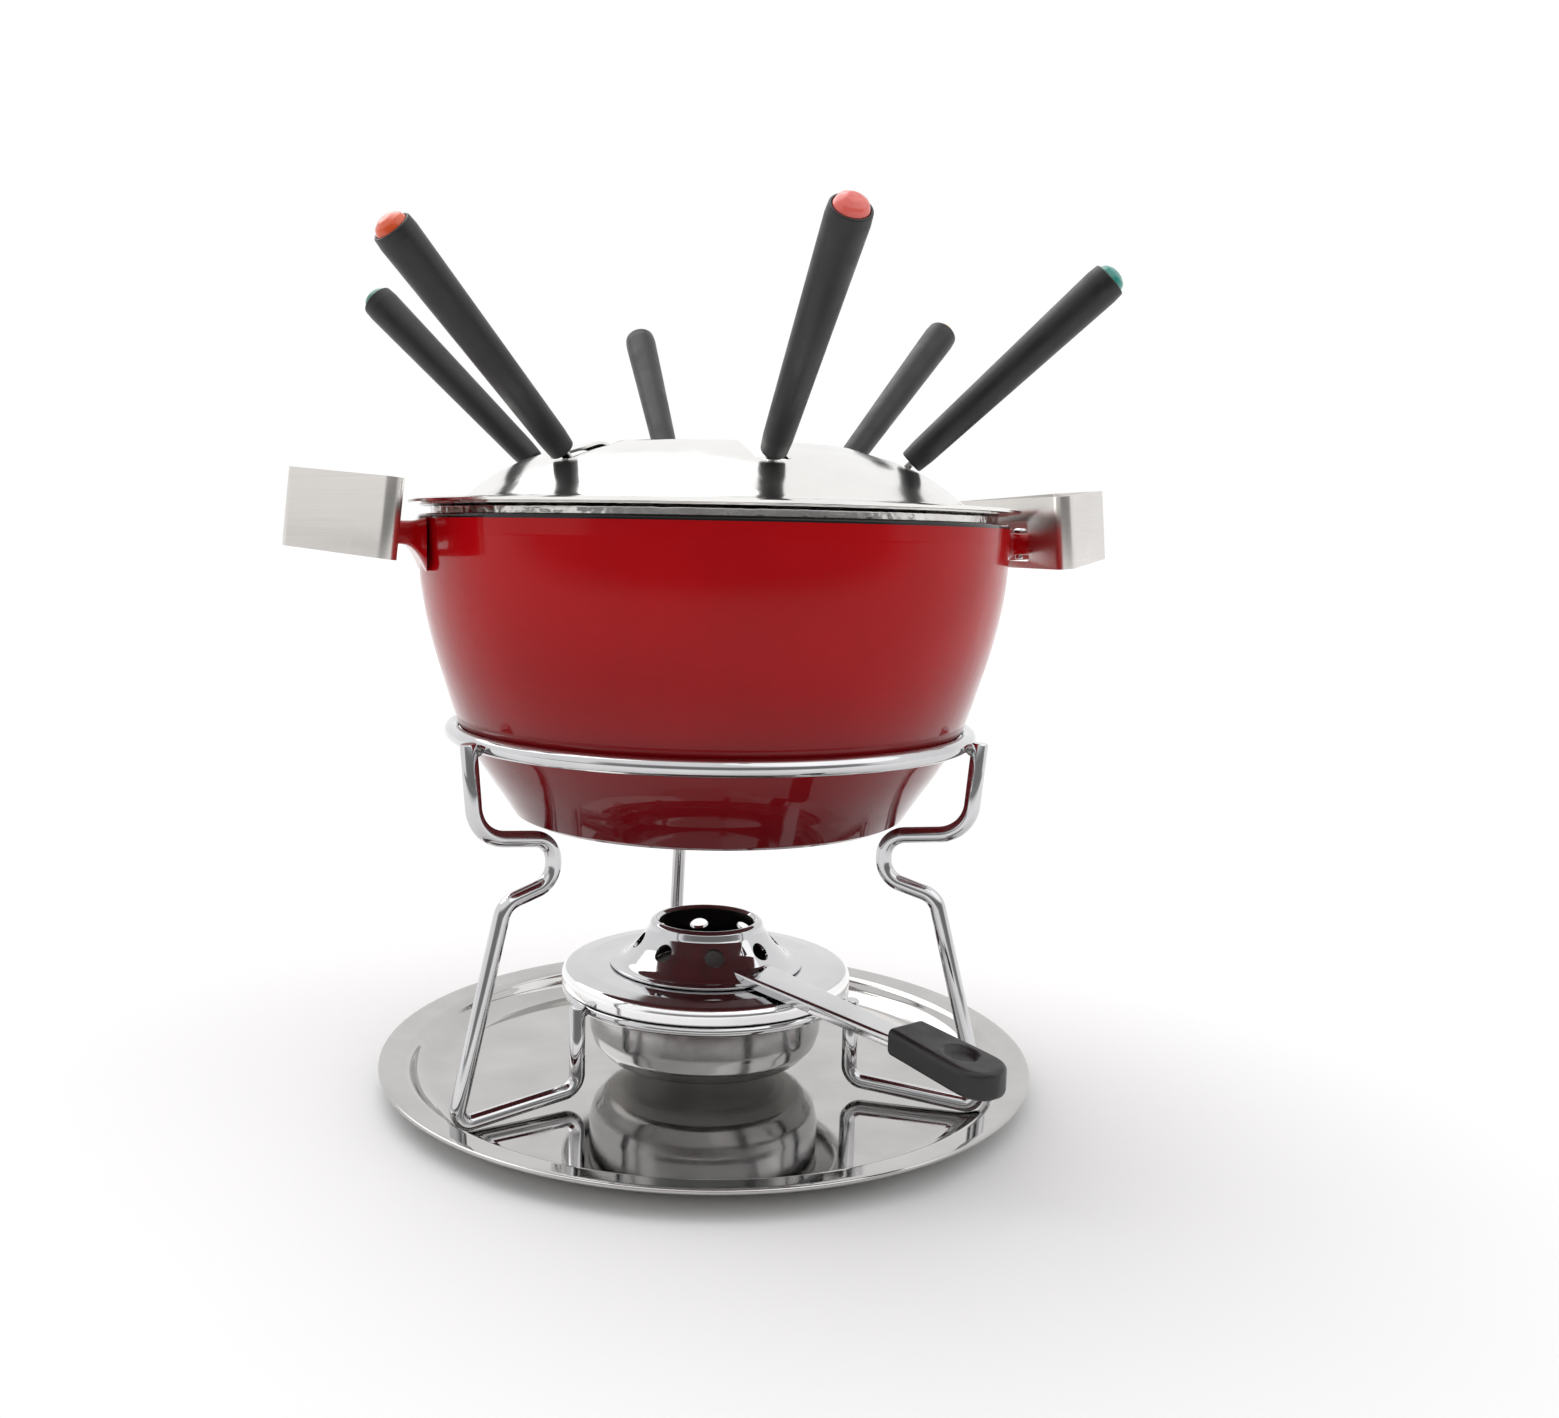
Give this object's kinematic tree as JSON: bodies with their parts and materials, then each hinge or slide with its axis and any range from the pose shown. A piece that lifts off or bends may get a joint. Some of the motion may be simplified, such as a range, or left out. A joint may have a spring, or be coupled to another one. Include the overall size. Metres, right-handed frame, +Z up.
{
  "type": "fondue pot set",
  "caption": "Red enamelled fondue pot with two band handles and a fork guard on a wire stand, over a fuel burner with a lever regulator, in a round tray, with long-handled forks.",
  "frame": {"origin": "centre of the tray's flat underside, on the table", "axes": "+Z up along the common axis of tray, burner, stand and pot; +X through the right-hand pot handle; the burner lever points to the front right, towards -Y"},
  "size_m": [0.3126, 0.2878, 0.3061],
  "materials": {
    "polished_steel": "mirror-polished stainless steel",
    "chrome_wire": "chromium-plated wire",
    "brushed_steel": "brushed stainless steel",
    "red_enamel": "glossy deep red vitreous enamel on cast iron",
    "fuel_wadding": "pressed fibre wadding",
    "gauze_steel": "woven steel gauze",
    "black_plastic": "satin black plastic",
    "fork_steel": "polished stainless steel",
    "cap_teal": "glossy teal plastic",
    "cap_yellow": "glossy yellow plastic",
    "cap_blue": "glossy blue plastic",
    "cap_green": "glossy green plastic",
    "cap_orange": "glossy orange plastic",
    "cap_coral": "glossy coral plastic"
  },
  "bodies": {
    "tray": {"tray": "polished_steel"},
    "stand": {"pot_ring": "chrome_wire", "burner_ring": "chrome_wire", "stand_leg_1": "chrome_wire", "stand_leg_2": "chrome_wire", "stand_leg_3": "chrome_wire"},
    "burner": {"burner_cup": "polished_steel", "fuel_pad": "fuel_wadding"},
    "burner_cover": {"burner_cover": "polished_steel", "fuel_gauze": "gauze_steel"},
    "regulator": {"regulator": "polished_steel", "lever": "polished_steel", "lever_grip": "black_plastic"},
    "pot": {"pot": "red_enamel", "pot_lug_left": "red_enamel", "pot_lug_right": "red_enamel", "handle_left": "brushed_steel", "handle_right": "brushed_steel", "handle_pin_left": "chrome_wire", "handle_pin_right": "chrome_wire"},
    "splash_guard": {"splash_guard": "polished_steel", "guard_collar": "polished_steel"},
    "fork_1": {"fork_1_steel": "fork_steel", "fork_1_handle": "black_plastic", "fork_1_cap": "cap_teal"},
    "fork_2": {"fork_2_steel": "fork_steel", "fork_2_handle": "black_plastic", "fork_2_cap": "cap_yellow"},
    "fork_3": {"fork_3_steel": "fork_steel", "fork_3_handle": "black_plastic", "fork_3_cap": "cap_blue"},
    "fork_4": {"fork_4_steel": "fork_steel", "fork_4_handle": "black_plastic", "fork_4_cap": "cap_green"},
    "fork_5": {"fork_5_steel": "fork_steel", "fork_5_handle": "black_plastic", "fork_5_cap": "cap_orange"},
    "fork_6": {"fork_6_steel": "fork_steel", "fork_6_handle": "black_plastic", "fork_6_cap": "cap_coral"}
  },
  "joints": [
    {"name": "stand_lift", "type": "slide", "parent": "tray", "child": "stand", "axis": [0, 0, 1], "range_m": [0, 0.05]},
    {"name": "burner_lift", "type": "slide", "parent": "stand", "child": "burner", "axis": [0, 0, 1], "range_m": [0, 0.031]},
    {"name": "cover_lift", "type": "slide", "parent": "burner", "child": "burner_cover", "axis": [0, 0, 1], "range_m": [0, 0.006]},
    {"name": "regulator_turn", "type": "hinge", "parent": "burner_cover", "child": "regulator", "pos_m": [0, 0, 0.05], "axis": [0, 0, 1], "range_deg": [-35, 15]},
    {"name": "pot_lift", "type": "slide", "parent": "stand", "child": "pot", "axis": [0, 0, 1], "range_m": [0, 0.06]},
    {"name": "guard_lift", "type": "slide", "parent": "pot", "child": "splash_guard", "axis": [0, 0, 1], "range_m": [0, 0.08]},
    {"name": "fork_1_draw", "type": "slide", "parent": "splash_guard", "child": "fork_1", "axis": [0.6303, -0.3639, 0.6858], "range_m": [0, 0.095]},
    {"name": "fork_2_draw", "type": "slide", "parent": "splash_guard", "child": "fork_2", "axis": [0.6303, 0.3639, 0.6858], "range_m": [0, 0.095]},
    {"name": "fork_3_draw", "type": "slide", "parent": "splash_guard", "child": "fork_3", "axis": [0, 0.7278, 0.6858], "range_m": [0, 0.095]},
    {"name": "fork_4_draw", "type": "slide", "parent": "splash_guard", "child": "fork_4", "axis": [-0.6303, 0.3639, 0.6858], "range_m": [0, 0.095]},
    {"name": "fork_5_draw", "type": "slide", "parent": "splash_guard", "child": "fork_5", "axis": [-0.6303, -0.3639, 0.6858], "range_m": [0, 0.095]},
    {"name": "fork_6_draw", "type": "slide", "parent": "splash_guard", "child": "fork_6", "axis": [0, -0.7278, 0.6858], "range_m": [0, 0.095]}
  ]
}
